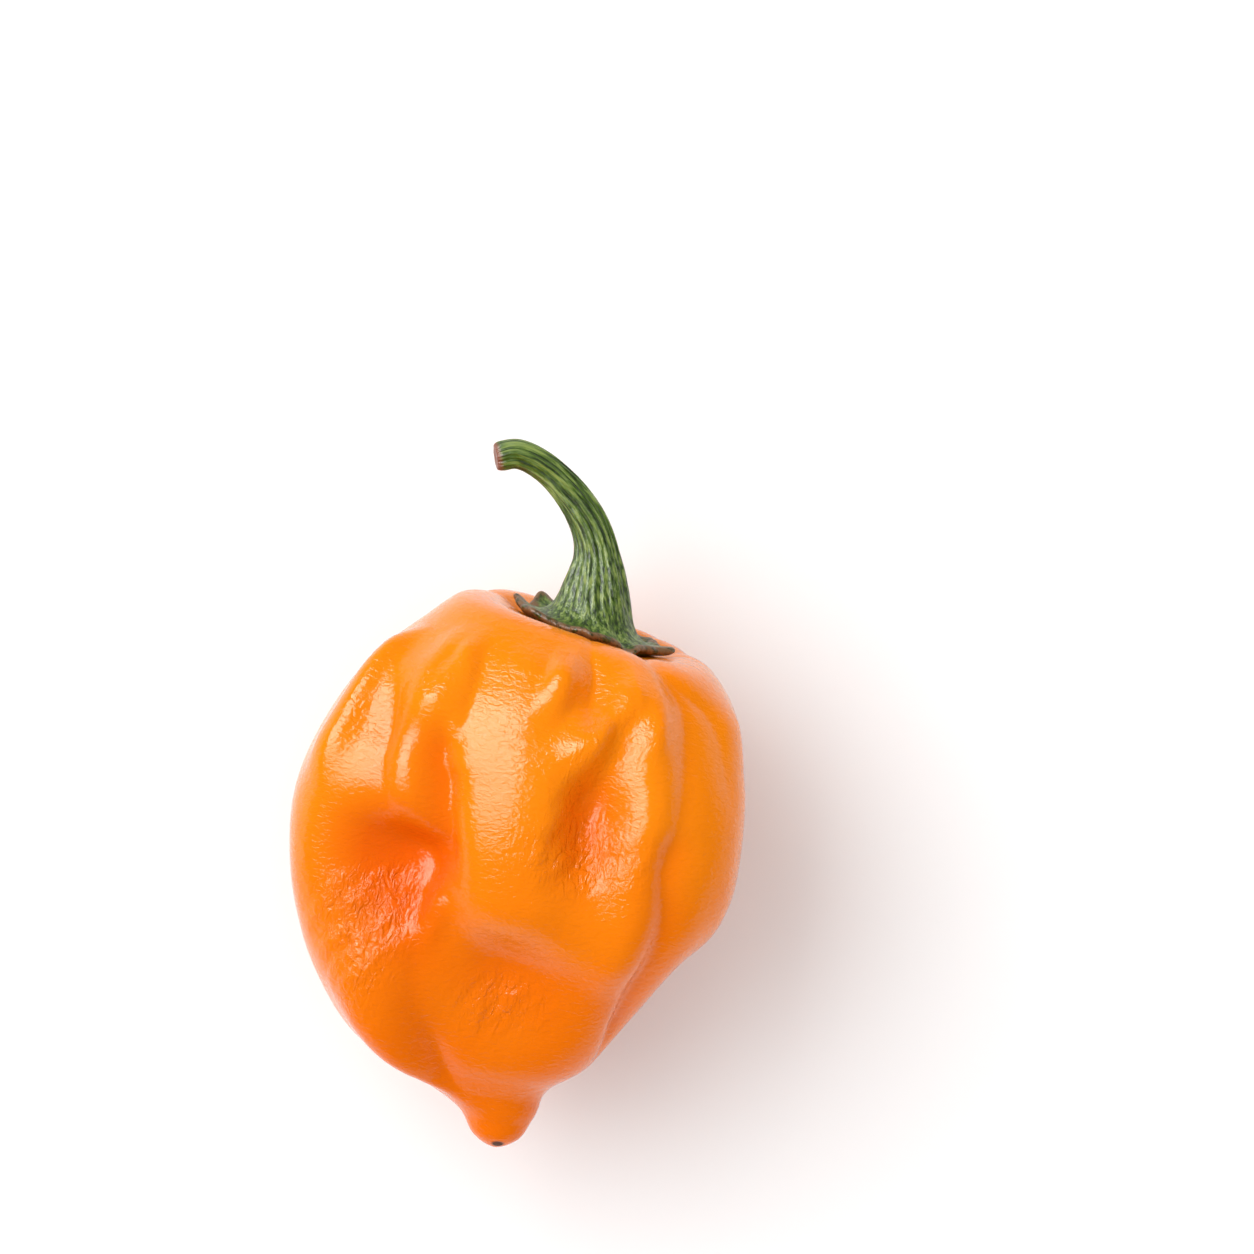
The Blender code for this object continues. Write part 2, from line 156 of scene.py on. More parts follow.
# The pod has a frame of its own: Z runs from the tip to the stem end, X to the right and -Y towards the
# side that shows best. Turns go round Z, from -Y towards +X, and heights are shares of the pod's length,
# from 0 at the tip.
podShape = {
    "length": 47.4,
    "width": 39.4,
    "lieAngle": 9.0,
    "tipAt": (3.2, -30.75, 14.75),  # where the middle of the tip comes
    "pressBlend": 0.2,  # the height over which the skin turns into the spot it rests on
    "segments": 384,
    "rings": 250,
    "splineSteps": 40,  # between two points of the outline
    # (height, share of half the width), from the seat of the calyx over shoulder and belly to the tip
    "outline": (
        (0.970, 0.00), (0.974, 0.17), (0.987, 0.34), (1.000, 0.46), (0.991, 0.58), (0.960, 0.67),
        (0.912, 0.755), (0.840, 0.86), (0.760, 0.94), (0.660, 0.995), (0.570, 1.00), (0.475, 0.955),
        (0.380, 0.86), (0.285, 0.735), (0.190, 0.565), (0.137, 0.385), (0.101, 0.262), (0.062, 0.168),
        (0.021, 0.105), (0.000, 0.00),
    ),
    # the middle of the pod wanders sideways, and the tip turns to the front: (height, mm)
    "drift": (
        (0.00, -0.4), (0.07, -0.9), (0.14, -3.6), (0.28, -4.3), (0.50, -3.5), (0.66, -3.3),
        (0.83, -1.7), (0.93, -0.1), (1.00, 0.0),
    ),
    "tipForward": (
        (0.00, -4.0), (0.04, -3.9), (0.08, -3.5), (0.13, -2.4), (0.20, -1.0), (0.32, 0.0), (1.00, 0.0),
    ),
    # the front is flatter than the sides: (height, share of the radius)
    "frontDepth": (
        (0.00, 0.90), (0.08, 0.88), (0.14, 0.88), (0.20, 0.89),
        (0.30, 0.92), (0.42, 0.95), (0.60, 0.96), (1.00, 1.00),
    ),
    # 2 is a round section, and more gives it soft corners: (height, at the front, at the back)
    "squareness": (
        (0.06, 2.0, 2.0), (0.18, 3.4, 2.9), (0.35, 4.4, 3.0),
        (0.55, 4.4, 2.5), (0.80, 3.8, 2.3), (0.95, 2.8, 2.2),
    ),
    "lean": (8.5, 0.55, 0.95),  # degrees by which the left shoulder stands higher, from and full at heights
    "foldFade": 0.07,  # the height over which a ridge or furrow ends
    "creaseEdge": 0.35,  # how round the bottom of a furrow is
    "tipSmooth": (0.03, 0.16),  # heights between which the folds set in
    "seatSmooth": (1.0, 7.0),  # and how far from the axis they do, so that the seat is smooth
    # ridges: (push in mm, reach to the left and to the right in degrees, how flat the top is, path from the
    # stem end down as (height, turn))
    "ridges": (
        (1.2, 17, 11, 2.2, ((0.95, -9), (0.91, -7), (0.88, -5), (0.78, 1.5), (0.67, 5), (0.55, 6.5),
                            (0.46, 7.5))),
        (0.35, 3.5, 3, 2.0, ((0.92, -34), (0.88, -28.5), (0.84, -26), (0.80, -24.5))),
        (1.1, 8, 5.5, 2.0, ((0.94, -38), (0.90, -35), (0.85, -32.5), (0.81, -31), (0.75, -30),
                            (0.69, -27.5), (0.62, -24))),
        (0.3, 4, 3.5, 2.0, ((0.93, -44), (0.90, -41.5), (0.87, -40), (0.83, -37))),
        (1.5, 8, 4, 2.0, ((0.90, -59), (0.82, -53), (0.775, -51), (0.73, -49.5), (0.66, -49))),
        (0.9, 9, 4, 2.0, ((0.50, -16.5), (0.44, -17.5), (0.37, -20))),
        (0.7, 6, 7, 2.4, ((0.97, 25), (0.87, 29), (0.76, 31), (0.62, 32), (0.48, 34), (0.36, 36))),
        (0.6, 10, 12, 3.0, ((0.95, 62), (0.80, 60), (0.60, 62), (0.42, 70))),
        (1.6, 14, 14, 3.2, ((0.96, 148), (0.70, 151), (0.57, 153))),
        (1.8, 14, 14, 3.2, ((0.96, -148), (0.70, -151), (0.57, -153))),
        (0.35, 3, 2.5, 2.0, ((0.52, -17.5), (0.48, -18.5), (0.42, -21), (0.38, -24))),
    ),
    # furrows: (push, reach to the left and to the right, path)
    "furrows": (
        (-1.00, 6, 3.5, ((0.84, -43), (0.81, -41), (0.755, -38), (0.70, -35), (0.65, -32.5))),
        (-0.45, 3, 3, ((0.93, -39), (0.88, -36.5), (0.84, -34.5))),
        (-0.50, 3, 3, ((0.92, -30.5), (0.87, -25.5), (0.84, -23.5), (0.81, -22), (0.775, -21))),
        (-0.55, 3, 3, ((0.95, -11.5), (0.91, -10.5), (0.87, -9))),
        (-0.40, 4, 4, ((0.95, -1), (0.88, 2), (0.82, 0))),
        (-0.45, 3, 2.5, ((0.99, 3), (0.96, 5), (0.90, 7.5), (0.855, 9.7), (0.80, 11))),
        (-0.45, 4, 3, ((0.97, 17), (0.90, 20), (0.84, 21))),
        (-0.65, 5, 5, ((0.995, 32), (0.945, 38.5), (0.87, 39), (0.765, 38.5), (0.67, 38), (0.615, 37.5),
                       (0.54, 39.5), (0.475, 41), (0.385, 44), (0.30, 50), (0.22, 60))),
        (-0.85, 5, 5, ((0.70, 38.2), (0.67, 38), (0.615, 37.5), (0.54, 39.5), (0.475, 41), (0.385, 44),
                       (0.30, 50), (0.22, 60))),
        (-0.40, 4, 4, ((0.99, 36), (0.935, 50), (0.86, 53), (0.76, 54))),
        # the crease beside the central lobe, steep on the lobe's side
        (-2.30, 11, 3, ((0.80, -27), (0.755, -24), (0.725, -20.5), (0.68, -18), (0.63, -16), (0.54, -14.5))),
        (-0.40, 3, 3, ((0.53, -21.5), (0.50, -22.5), (0.45, -24), (0.40, -26))),
        (-0.90, 7, 6, ((0.46, -24), (0.36, -20), (0.29, -18.5), (0.20, -14), (0.13, -12))),
        (-0.40, 5, 5, ((0.99, 96), (0.85, 101), (0.70, 104))),
        (-0.40, 5, 5, ((0.99, -100), (0.86, -98), (0.72, -97))),
        (-1.50, 8, 8, ((0.99, 120), (0.85, 124), (0.60, 126), (0.40, 128), (0.18, 122))),
        (-0.45, 5, 5, ((0.99, 143), (0.80, 148))),
        (-1.40, 9, 9, ((0.99, 176), (0.85, 180), (0.65, 183), (0.42, 186))),
        (-0.45, 5, 5, ((0.99, 208), (0.80, 210))),
        (-1.50, 8, 8, ((0.99, 246), (0.85, 241), (0.60, 238), (0.40, 242), (0.18, 250))),
    ),
    # (push, turn, height, reach to the left, right, up and down, lean, slant, wall): dents, and knobs where
    # the push is positive. A wall above 1 makes the middle flat and the sides steep.
    "dents": (
        (-6.2, -29, 0.545, 13, 15, 0.095, 0.165, 40, -0.0038, 1.1),
        (2.4, -29, 0.27, 14, 13, 0.14, 0.13, 0, 0.0, 1.2),
        (-2.8, 19.5, 0.725, 9, 7, 0.08, 0.13, -20, 0.0, 1.2),
        (-0.9, 17, 0.62, 11, 9, 0.08, 0.10, 0, 0.0, 1.1),
        (-2.3, 8, 0.37, 20, 24, 0.07, 0.10, 0, -0.0012, 1.05),
        (-1.3, 78, 0.40, 28, 35, 0.10, 0.13, 0, 0.0, 1.0),
        (1.10, -3.0, 0.925, 7, 5, 0.04, 0.05, 0, 0.0, 1.1),
        (1.50, 18.5, 0.925, 6, 4.5, 0.04, 0.05, 0, 0.0, 1.1),
        (1.90, 12.0, 0.835, 6.5, 5, 0.05, 0.055, 0, 0.0, 1.1),
        (0.65, 27, 0.885, 4.5, 4, 0.05, 0.045, 0, 0.0, 1.1),
        (-1.3, -128, 0.42, 16, 16, 0.12, 0.12, 0, 0.0, 1.35),
        (-1.1, 104, 0.50, 13, 13, 0.14, 0.14, 0, 0.0, 1.35),
        (1.6, 181, 0.34, 24, 24, 0.09, 0.10, 0, 0.0, 1.35),
    ),
    # crinkled spots, where the skin has sunk in: (strength, turn, height, reach left, right, up, down)
    "crinkles": (
        (2.1, -35, 0.43, 13, 11, 0.08, 0.14), (1.9, 19, 0.635, 15, 12, 0.075, 0.075),
        (1.0, 13, 0.75, 7, 6, 0.09, 0.12), (1.3, 8, 0.30, 15, 17, 0.06, 0.06),
        (0.6, 17, 0.86, 12, 14, 0.05, 0.08), (0.35, -135, 0.42, 20, 20, 0.15, 0.15),
    ),
    "wrinkleSize": 1.3,  # mm between the wrinkles in those spots
    "wrinkleStretch": 2.4,  # how much longer than wide they are
    "wrinkleSlant": -40.0,
    "wrinkleHeight": 0.22,
    "wrinkleLeast": 0.02,  # skin that is crinkled less than this stays smooth
}


def sideShare(off, below, above):
    # how far off the middle, as a share of the reach on that side
    return np.abs(off) / np.where(off > 0, above, below)


def foldStrength(path, height, fade):
    top, bottom = path[0][0], path[-1][0]
    starts = smoothStep(height, bottom - fade / 2, bottom + fade)
    return starts * (1 - smoothStep(height, top - fade / 2, top + fade / 2))


def crinkleStrength(turn, height, shape):
    strength = np.zeros_like(turn)
    for most, at, middle, left, right, up, down in shape["crinkles"]:
        across = sideShare(turnBetween(turn, at), left, right)
        along = sideShare(height - middle, down, up)
        strength = np.maximum(strength, most * np.exp(-((across**2 + along**2) ** 1.5)))
    return strength


def wrinklePush(turn, height, crinkle, shape):
    # short slanting wrinkles, only where the skin is crinkled
    slant = math.radians(shape["wrinkleSlant"])
    right, up = np.radians(turn) * shape["width"] / 2, height * shape["length"]
    across = (right * math.cos(slant) + up * math.sin(slant)) / shape["wrinkleSize"]
    along = (up * math.cos(slant) - right * math.sin(slant)) / shape["wrinkleSize"] / shape["wrinkleStretch"]
    rise = np.zeros_like(turn)
    for i in np.flatnonzero(crinkle > shape["wrinkleLeast"]):
        rise[i] = noise.noise((across[i], along[i], 0.0))
    return rise * crinkle * shape["wrinkleHeight"]


def skinPush(turn, height, radius, crinkle, shape):
    # how far ridges, furrows, dents and knobs move the skin, and how deep it lies in furrows and dents
    push = wrinklePush(turn, height, crinkle, shape)
    depth = np.zeros_like(turn)
    for amount, left, right, top, path in shape["ridges"]:
        off = sideShare(turnBetween(turn, curveAt(path, height)), left, right)
        push += amount * np.exp(-off ** top) * foldStrength(path, height, shape["foldFade"])
    edge = shape["creaseEdge"]
    for amount, left, right, path in shape["furrows"]:
        off = sideShare(turnBetween(turn, curveAt(path, height)), left, right)
        part = amount * np.exp(edge - np.hypot(off, edge)) * foldStrength(path, height, shape["foldFade"])
        push += part
        depth += np.maximum(-part, 0)
    for amount, at, middle, left, right, up, down, lean, slant, wall in shape["dents"]:
        rise = height - middle - slant * turnBetween(turn, at)
        across = sideShare(turnBetween(turn, at + lean * rise), left, right)
        along = sideShare(rise, down, up)
        part = amount * np.exp(-((across**2 + along**2) ** wall))
        push += part
        depth += np.maximum(-part, 0)
    fade = smoothStep(height, *shape["tipSmooth"]) * smoothStep(radius, *shape["seatSmooth"])
    return push * fade, depth * fade


def cornerShare(turn, height, squareness):
    # how much further out the skin stands in the soft corners of its section
    angle = np.radians(turn)
    front = curveAt([(share, power) for share, power, _ in squareness], height)
    behind = curveAt([(share, power) for share, _, power in squareness], height)
    power = np.where(np.cos(angle) > 0, front, behind)
    return (np.abs(np.sin(angle)) ** power + np.abs(np.cos(angle)) ** power) ** (-1 / power)


def podPoints(turn, share, shape):
    length, half = shape["length"], shape["width"] / 2
    outline = [(height * length, radius * half) for height, radius in shape["outline"]]
    first, last = (outline[1][0], -outline[1][1]), (outline[-2][0], -outline[-2][1])
    line = catmullRom(outline, shape["splineSteps"], first, last)
    way = wayAlong(line)
    ahead = np.gradient(line, way, axis=0)
    where = share * way[-1]
    height, radius = readLine(way, line, where).T
    up, out = readLine(way, ahead, where).T
    crinkle = crinkleStrength(turn, height / length, shape)
    push, depth = skinPush(turn, height / length, radius, crinkle, shape)
    radius = radius * cornerShare(turn, height / length, shape["squareness"]) - push * up
    height = height + push * out
    part = height / length
    angle = np.radians(turn)
    right, back = radius * np.sin(angle), -radius * np.cos(angle)
    back = np.where(back < 0, back * curveAt(shape["frontDepth"], part), back)
    lean, leanFrom, leanFull = shape["lean"]
    drop = math.tan(math.radians(lean)) * smoothStep(part, leanFrom, leanFull) * right
    middle = curveAt(shape["drift"], part), curveAt(shape["tipForward"], part)
    points = np.stack([right + middle[0], back + middle[1], height - drop], axis=-1)
    return points, {"depth": depth, "crinkle": crinkle}


def lying(shape):
    # from the pod's own frame to where it lies, in millimetres
    tilt = math.radians(shape["lieAngle"])
    turned = Matrix(((1, 0, 0), (0, math.sin(tilt), math.cos(tilt)), (0, -math.cos(tilt), math.sin(tilt))))
    return Matrix.Translation(shape["tipAt"]) @ turned.to_4x4()


def pressFlat(mesh, blend):
    # what dips below the ground becomes a flat spot with a rounded edge
    for vertex in mesh.verts:
        if vertex.co.z < -blend:
            vertex.co.z = 0
        elif vertex.co.z < blend:
            vertex.co.z = (vertex.co.z + blend) ** 2 / (4 * blend)


skinLook = {
    "body": "#EC6D04",  # ripe orange flesh that shows through the skin
    "light": "#F78A0E",  # painted light: paler and yellower towards the shoulder, where the softbox falls
    "paintedLightFrom": -27.0,  # mm along the pepper between which it gets paler
    "paintedLightFull": 2.0,
    "paintedShadeColour": "#E85D04",  # painted shade: redder in furrows and hollows, where less light reaches
    "paintedShadeFrom": 0.4,  # mm below the round skin
    "paintedShadeFull": 4.0,
    "paintedLightShare": 0.75,
    "paintedShadeShare": 0.85,
    "patchSize": 9.0,  # mm between patches of another tone
    "patchTone": 0.5,
    "tipScar": "#5A2A12",  # where the flower was
    "scarAt": (3.1, -31.0, 20.1),
    "scarSize": 0.9,
    "scarEdge": (0.45, 0.75),  # shares of its size over which it fades
    "scarRoughness": 0.4,
    "roughness": 0.13,
    "patchRoughness": 0.06,
    "glossLevel": 0.28,
    "glossTint": (1.0, 0.95, 0.86, 1),
    "refraction": 1.45,
    "rippleSize": 0.38,  # mm between the fine ripples that run across the lobes
    "rippleHeight": 0.085,
    "rippleStretch": (0.55, 1.0, 0.55),  # below 1 they are longer that way
    "creaseSize": 0.75,  # mm between the small creases of the crinkled spots
    "creaseHeight": 0.24,
    "creaseSlant": -35.0,
    "creaseStretch": (1.0, 0.5, 0.7),
    "dimpleSize": 1.9,  # mm between faint dimples
    "dimpleHeight": 0.02,
}


def scarShare(tree, look, place):
    # 1 on the scar at the tip, and 0 elsewhere
    away = addNode(tree, "ShaderNodeVectorMath", "Value", {
        0: place, 1: [value * mm for value in look["scarAt"]]}, {"operation": "DISTANCE"})
    inside, outside = look["scarEdge"]
    return addNode(tree, "ShaderNodeMapRange", "Result", {
        "Value": away, "From Min": look["scarSize"] * mm * outside,
        "From Max": look["scarSize"] * mm * inside})


def skinColour(tree, look, place, patches, scar):
    # painted light: paler towards the shoulder, where the softbox falls; painted shade: redder where the
    # skin has sunk in; and brown on the scar
    depth = addNode(tree, "ShaderNodeAttribute", "Fac", settings={"attribute_name": "depth"})
    along = addNode(tree, "ShaderNodeSeparateXYZ", "Y", {0: place})
    # painted light: the skin is made paler towards the stem end, where the softbox falls on it
    paintedLightMask = addNode(tree, "ShaderNodeMapRange", "Result", {
        "Value": along, "From Min": look["paintedLightFrom"] * mm, "From Max": look["paintedLightFull"] * mm})
    patchTone = addNode(tree, "ShaderNodeMath", 0, {
        0: patches, 1: look["patchTone"], 2: -look["patchTone"] / 2}, {"operation": "MULTIPLY_ADD"})
    paintedLightAndPatchTone = addNode(tree, "ShaderNodeMath", 0, {
        0: paintedLightMask, 1: look["paintedLightShare"], 2: patchTone}, {"operation": "MULTIPLY_ADD"})
    fleshWithPaintedLight = addNode(tree, "ShaderNodeMix", 2, {
        0: paintedLightAndPatchTone, 6: toLinear(look["body"]), 7: toLinear(look["light"])}, {"data_type": "RGBA"})
    # painted shade: redder where the skin lies deep in furrows and dents
    paintedShadeMask = addNode(tree, "ShaderNodeMapRange", "Result", {
        "Value": depth, "From Min": look["paintedShadeFrom"], "From Max": look["paintedShadeFull"],
        "To Max": look["paintedShadeShare"]})
    skin = addNode(tree, "ShaderNodeMix", 2, {
        0: paintedShadeMask, 6: fleshWithPaintedLight, 7: toLinear(look["paintedShadeColour"])}, {"data_type": "RGBA"})
    return addNode(tree, "ShaderNodeMix", 2, {
        0: scar, 6: skin, 7: toLinear(look["tipScar"])}, {"data_type": "RGBA"})


def skinRelief(tree, look, place):
    # fine ripples over small creases, where the skin is crinkled, over faint dimples
    crinkle = addNode(tree, "ShaderNodeAttribute", "Fac", settings={"attribute_name": "crinkle"})
    stretched = addNode(tree, "ShaderNodeMapping", "Vector", {
        "Vector": place, "Scale": look["rippleStretch"]})
    ripples = addNode(tree, "ShaderNodeTexNoise", "Fac", {
        "Vector": stretched, "Scale": 1 / (look["rippleSize"] * mm), "Detail": 2.0, "Distortion": 0.8})
    slanted = addNode(tree, "ShaderNodeMapping", "Vector", {
        "Vector": place, "Rotation": (0, 0, math.radians(look["creaseSlant"])),
        "Scale": look["creaseStretch"]})
    creases = addNode(tree, "ShaderNodeTexNoise", "Fac", {
        "Vector": slanted, "Scale": 1 / (look["creaseSize"] * mm), "Detail": 3.0, "Distortion": 1.2})
    creaseRise = addNode(tree, "ShaderNodeMath", 0, {0: creases, 1: crinkle}, {"operation": "MULTIPLY"})
    dimples = addNode(tree, "ShaderNodeTexNoise", "Fac", {
        "Vector": place, "Scale": 1 / (look["dimpleSize"] * mm), "Detail": 1.5})
    dimpled = addNode(tree, "ShaderNodeBump", "Normal", {
        "Distance": look["dimpleHeight"] * mm, "Height": dimples})
    creased = addNode(tree, "ShaderNodeBump", "Normal", {
        "Distance": look["creaseHeight"] * mm, "Height": creaseRise, "Normal": dimpled})
    return addNode(tree, "ShaderNodeBump", "Normal", {
        "Distance": look["rippleHeight"] * mm, "Height": ripples, "Normal": creased})


def ripeSkin():
    # Ripe pepper skin: a smooth waxy cuticle over saturated flesh, so it is glossy like a soft plastic,
    # with faint ripples that break up the edges of its highlights and fine creases where it has sunk in
    look = skinLook
    material, tree, shader = newMaterial("waxy pepper skin")
    place = addNode(tree, "ShaderNodeTexCoord", "Object")
    patches = addNode(tree, "ShaderNodeTexNoise", "Fac", {
        "Vector": place, "Scale": 1 / (look["patchSize"] * mm), "Detail": 2.0, "Roughness": 0.5})
    scar = scarShare(tree, look, place)
    # the colour holds painted light towards the shoulder and painted shade in the furrows and hollows
    colour = skinColour(tree, look, place, patches, scar)
    tree.links.new(colour, shader.inputs["Base Color"])
    tree.links.new(skinRelief(tree, look, place), shader.inputs["Normal"])
    patchGloss = addNode(tree, "ShaderNodeMath", 0, {
        0: patches, 1: look["patchRoughness"], 2: look["roughness"] - look["patchRoughness"] / 2},
        {"operation": "MULTIPLY_ADD"})
    gloss = addNode(tree, "ShaderNodeMath", 0, {
        0: scar, 1: look["scarRoughness"], 2: patchGloss}, {"operation": "MULTIPLY_ADD"})
    tree.links.new(gloss, shader.inputs["Roughness"])
    shader.inputs["IOR"].default_value = look["refraction"]
    shader.inputs["Specular IOR Level"].default_value = look["glossLevel"]
    shader.inputs["Specular Tint"].default_value = look["glossTint"]
    return material


def makePod():
    shape = podShape
    mesh, turn, share = sphereMesh(shape["segments"], shape["rings"])
    points, attributes = podPoints(turn, share, shape)
    moveVertices(mesh, points)
    skin = BVHTree.FromBMesh(mesh)
    mesh.transform(lying(shape))
    pressFlat(mesh, shape["pressBlend"])
    pod = addPiece("pepper_pod", mesh, ripeSkin(), attributes)
    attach(pod, "root")
    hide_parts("pod")
    return skin


podSkin = makePod()
print("pod made")


stemShape = {
    "calyxWidth": 13.4,
    "seatGap": 0.06,  # between the calyx and the skin below it
    "segments": 240,
    "rings": 260,
    "splineSteps": 40,
    "foot": 46.4,  # where the path starts, up the pod's axis
    # the stem's path from the middle of the seat: (right, back, up)
    "path": (
        (0.0, 0.0, 0.0), (-0.1, 0.0, 3.6), (-0.5, 0.0, 7.2), (-1.6, -0.1, 9.9), (-3.8, -0.3, 12.5),
        (-6.3, -0.6, 14.3), (-8.8, -1.0, 15.1), (-10.8, -1.4, 14.5),
    ),
    # (way along the path, radius, share by which the ring follows the skin below it), from the middle of
    # the underside to the middle of the cut end
    "outline": (
        (0.00, 0.00, 1.0), (0.00, 2.50, 1.0), (0.00, 4.90, 1.0), (0.08, 6.20, 1.0), (0.40, 6.70, 1.0),
        (0.80, 6.45, 1.0), (0.95, 5.60, 1.0), (1.25, 4.70, 0.9), (1.95, 3.95, 0.6), (3.10, 3.35, 0.2),
        (4.60, 2.85, 0.0), (6.00, 2.45, 0.0), (7.40, 2.02, 0.0), (9.20, 1.76, 0.0), (11.4, 1.60, 0.0),
        (13.6, 1.46, 0.0), (15.8, 1.34, 0.0), (18.2, 1.28, 0.0), (20.2, 1.28, 0.0), (21.1, 1.25, 0.0),
        (21.6, 0.95, 0.0), (21.5, 0.45, 0.0), (21.4, 0.00, 0.0),
    ),
    # points of the calyx: (turn, how far out, how far up, how wide)
    "teeth": (
        (-98, 0.7, 0.3, 10), (-135, 0.2, 0.7, 7), (-52, 0.3, 0.1, 8), (6, 0.35, 0.0, 12),
        (82, 0.9, 0.1, 8), (120, 0.6, 0.7, 9), (178, 0.7, 0.5, 11), (-172, 0.2, 0.3, 6),
    ),
    "rimFrom": 5.3,  # how far from the axis the rim starts to wave
    "rimFull": 6.4,
    "rimWave": 0.22,
    # (share of rimWave, waves round the rim, phase), outwards and upwards
    "wavesOut": ((1.0, 5, 0.6), (0.6, 8, 2.0), (0.5, 17, 1.3), (0.35, 29, 0.4)),
    "waveUp": (0.5, 7, 1.0),
    "dryRim": (5.0, 6.4),  # how far from the axis it turns brown
    "dryEnd": (20.9, 21.4),  # how far along the stem its cut end turns brown
    "ribs": 7,
    "ribRise": 0.045,
    "fibres": 23,
    "fibreRise": 0.022,
    "fibreWander": (1.5, 0.5),  # how far, and how often along the stem
    "twist": 2.2,  # degrees for each millimetre
}


stemLook = {
    "green": "#4C681A",
    "grooveStreakAndShade": "#243708",  # darker in the grooves between the fibres: partly the bark's own streaks, partly painted shade
    "backStreakAndSheen": "#86994A",  # paler on the fibres' backs: partly the bark's own streaks, partly painted sheen
    "scar": "#7C5A34",  # dry brown patches along the rim
    "scarDark": "#35240F",  # where the dried rim has cracked
    "cut": "#86503A",
    "fibreSize": 0.30,  # mm across a fibre
    "fibreRise": 0.15,
    "fibreStretch": 0.09,  # below 1 the fibres are longer
    "fleckSize": 0.6,  # mm across a fleck
    "fleckRise": 0.06,
    # values of the fibres' or the flecks' noise between which a colour sets in
    "grooves": (0.5, 0.38),
    "backs": (0.5, 0.64),
    "cracks": (0.52, 0.40),
    "scarSpread": 1.6,
    "scars": (0.45, 0.95),
    "glossFlecks": (0.3, 0.7),
    "roughness": (0.26, 0.55),
    "refraction": 1.45,
}


def stemColour(tree, look, fibres, flecks):
    # dark grooves and pale backs on green bark, partly its own streaks and partly painted shade and sheen
    # that follow the fibres' relief; a dry brown rim with dark cracks, and the brown cut end
    rim = addNode(tree, "ShaderNodeAttribute", "Fac", settings={"attribute_name": "rim"})
    cut = addNode(tree, "ShaderNodeAttribute", "Fac", settings={"attribute_name": "cut"})
    # partly painted shade in the fibres' grooves
    grooveShadeShare = addNode(tree, "ShaderNodeMapRange", "Result", {
        "Value": fibres, "From Min": look["grooves"][0], "From Max": look["grooves"][1]})
    # partly painted sheen on the fibres' backs
    back = addNode(tree, "ShaderNodeMapRange", "Result", {
        "Value": fibres, "From Min": look["backs"][0], "From Max": look["backs"][1]})
    barkWithGrooveShade = addNode(tree, "ShaderNodeMix", 2, {
        0: grooveShadeShare, 6: toLinear(look["green"]), 7: toLinear(look["grooveStreakAndShade"])}, {"data_type": "RGBA"})
    bark = addNode(tree, "ShaderNodeMix", 2, {
        0: back, 6: barkWithGrooveShade, 7: toLinear(look["backStreakAndSheen"])}, {"data_type": "RGBA"})
    scars = addNode(tree, "ShaderNodeMath", 0, {
        0: flecks, 1: look["scarSpread"], 2: -look["scarSpread"] / 2}, {"operation": "MULTIPLY_ADD"})
    dried = addNode(tree, "ShaderNodeMath", 0, {0: rim, 1: scars}, {"operation": "ADD"})
    brown = addNode(tree, "ShaderNodeMapRange", "Result", {
        "Value": dried, "From Min": look["scars"][0], "From Max": look["scars"][1]})
    cracks = addNode(tree, "ShaderNodeMapRange", "Result", {
        "Value": flecks, "From Min": look["cracks"][0], "From Max": look["cracks"][1]})
    driedTone = addNode(tree, "ShaderNodeMix", 2, {
        0: cracks, 6: toLinear(look["scar"]), 7: toLinear(look["scarDark"])}, {"data_type": "RGBA"})
    scarred = addNode(tree, "ShaderNodeMix", 2, {0: brown, 6: bark, 7: driedTone}, {"data_type": "RGBA"})
    return addNode(tree, "ShaderNodeMix", 2, {
        0: cut, 6: scarred, 7: toLinear(look["cut"])}, {"data_type": "RGBA"})


def greenStem():
    # Fresh pepper stem: green bark with lengthwise fibres, matt with small glints on its ridges, and
    # dry brown scars along the rim and on the cut end
    look = stemLook
    material, tree, shader = newMaterial("fibrous green stem")
    straight = addNode(tree, "ShaderNodeAttribute", "Vector", settings={"attribute_name": "straight"})
    stretched = addNode(tree, "ShaderNodeMapping", "Vector", {
        "Vector": straight, "Scale": (1, 1, look["fibreStretch"])})
    fibres = addNode(tree, "ShaderNodeTexNoise", "Fac", {
        "Vector": stretched, "Scale": 1 / look["fibreSize"], "Detail": 3.0, "Roughness": 0.6})
    flecks = addNode(tree, "ShaderNodeTexNoise", "Fac", {
        "Vector": straight, "Scale": 1 / look["fleckSize"], "Detail": 3.0, "Roughness": 0.65})
    colour = stemColour(tree, look, fibres, flecks)
    tree.links.new(colour, shader.inputs["Base Color"])
    ribbed = addNode(tree, "ShaderNodeBump", "Normal", {
        "Distance": look["fibreRise"] * mm, "Height": fibres})
    flecked = addNode(tree, "ShaderNodeBump", "Normal", {
        "Distance": look["fleckRise"] * mm, "Height": flecks, "Normal": ribbed})
    tree.links.new(flecked, shader.inputs["Normal"])
    gloss = addNode(tree, "ShaderNodeMapRange", "Result", {
        "Value": flecks, "From Min": look["glossFlecks"][0], "From Max": look["glossFlecks"][1],
        "To Min": look["roughness"][0], "To Max": look["roughness"][1]})
    tree.links.new(gloss, shader.inputs["Roughness"])
    shader.inputs["IOR"].default_value = look["refraction"]
    return material


def skinHeight(skin, right, back):
    above = 2 * podShape["length"]
    down = Vector((0, 0, -1))
    return np.array([skin.ray_cast(Vector((x, y, above)), down)[0].z for x, y in zip(right, back)])


